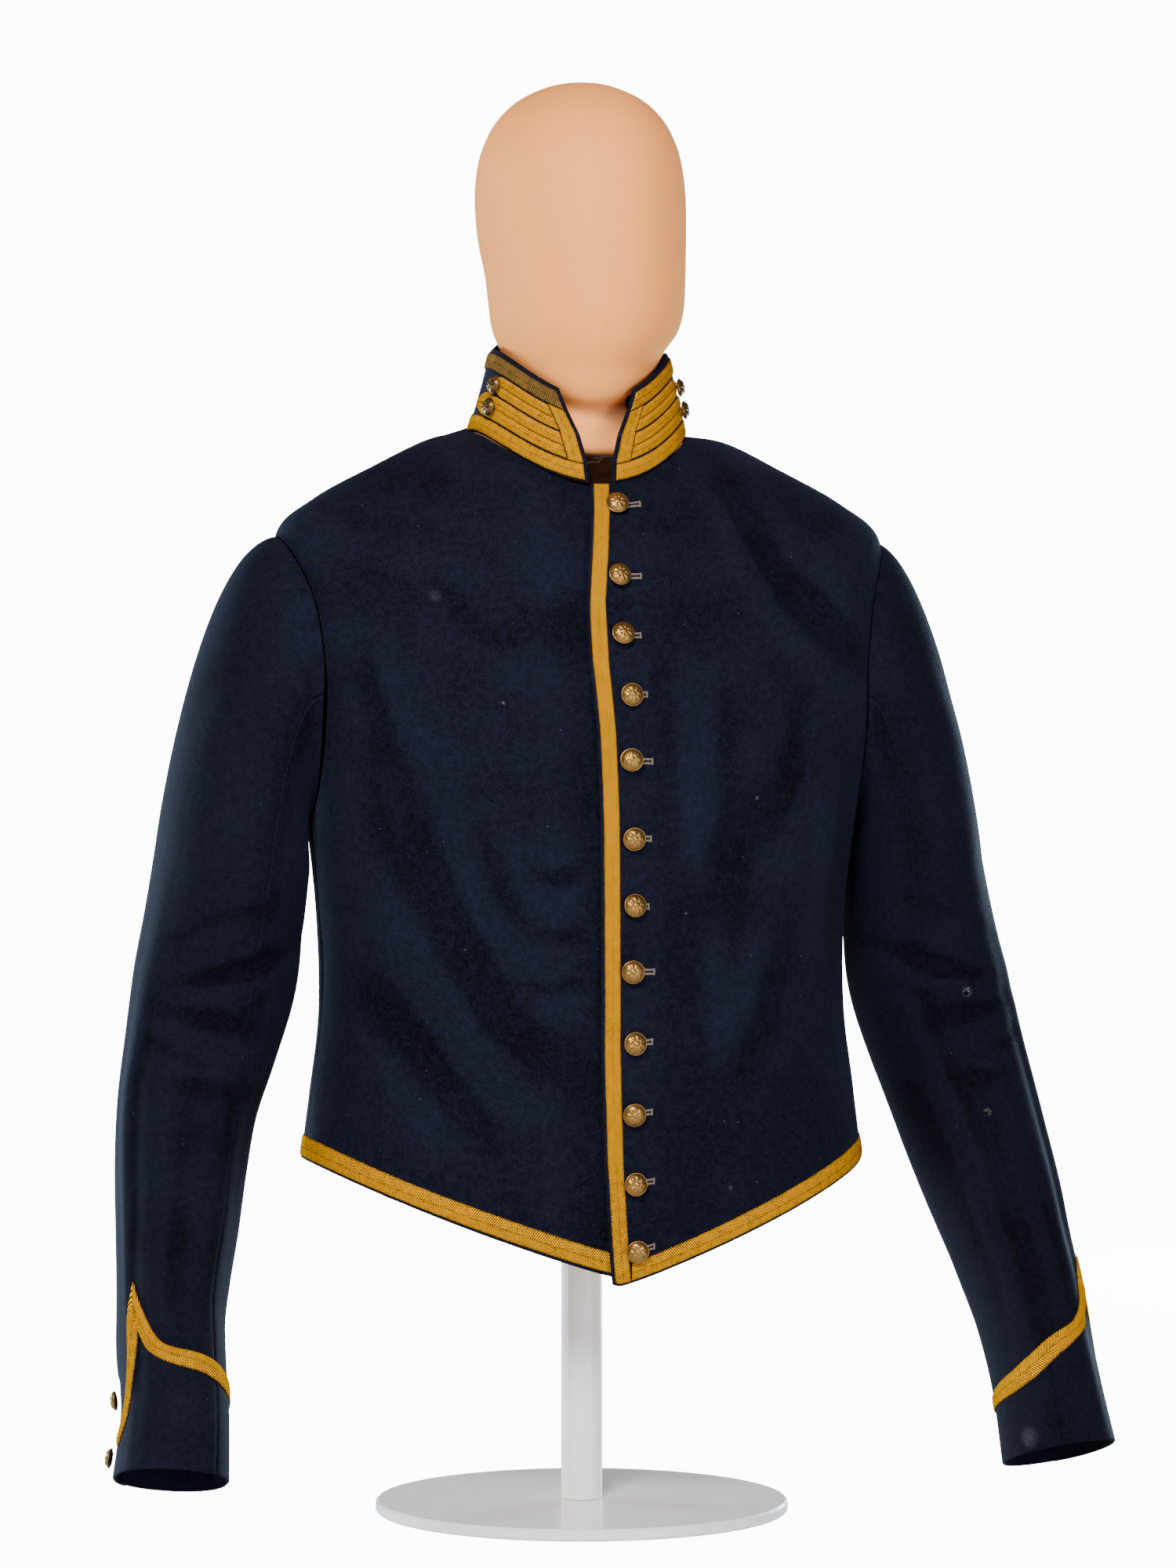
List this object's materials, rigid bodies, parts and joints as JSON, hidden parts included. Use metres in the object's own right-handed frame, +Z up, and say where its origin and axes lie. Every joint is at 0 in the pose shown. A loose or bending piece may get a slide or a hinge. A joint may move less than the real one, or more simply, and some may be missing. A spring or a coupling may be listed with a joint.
{
  "type": "shell jacket on a headed dress form",
  "caption": "Short fitted uniform jacket with a standing laced collar, buttoned front and pointed cuffs, on a limbless dress form with a head and a round stand.",
  "frame": {"origin": "middle of the underside of the stand's base", "axes": "+Z up, the jacket's front faces -Y, its left sleeve hangs at +X"},
  "size_m": [0.6658, 0.3185, 0.97],
  "materials": {
    "wool": "fulled navy wool with a short nap",
    "lace": "woven gold-yellow worsted lace",
    "faded_lace": "the same lace, faded and rubbed",
    "brass": "aged, dark in the recesses",
    "jersey": "fine matt knit drawn smooth",
    "wire": "black japanned wire",
    "lacquer": "white satin lacquer"
  },
  "bodies": {
    "root": {"back": "wool", "collar": "wool", "collar_button_lower_left": "brass", "collar_button_lower_right": "brass", "collar_button_upper_left": "brass", "collar_button_upper_right": "brass", "collar_end_lace_left": "lace", "collar_end_lace_right": "lace", "collar_eye": "wire", "collar_foot_lace": "lace", "collar_hook": "wire", "collar_loop_lower_left": "lace", "collar_loop_lower_right": "lace", "collar_loop_upper_left": "lace", "collar_loop_upper_right": "lace", "collar_top_lace": "faded_lace", "cuff_button_left_1": "brass", "cuff_button_left_2": "brass", "cuff_button_right_1": "brass", "cuff_button_right_2": "brass", "cuff_lace_left": "lace", "cuff_lace_right": "lace", "dress_form": "jersey", "edge_lace_left": "lace", "front_button_01": "brass", "front_button_02": "brass", "front_button_03": "brass", "front_button_04": "brass", "front_button_05": "brass", "front_button_06": "brass", "front_button_07": "brass", "front_button_08": "brass", "front_button_09": "brass", "front_button_10": "brass", "front_button_11": "brass", "front_button_12": "brass", "front_left": "wool", "front_right": "wool", "hem_lace_back": "lace", "hem_lace_left": "lace", "hem_lace_right": "lace", "sleeve_top_left": "wool", "sleeve_top_right": "wool", "sleeve_under_left": "wool", "sleeve_under_right": "wool", "stand_base": "lacquer", "stand_pole": "lacquer"}
  },
  "joints": []
}
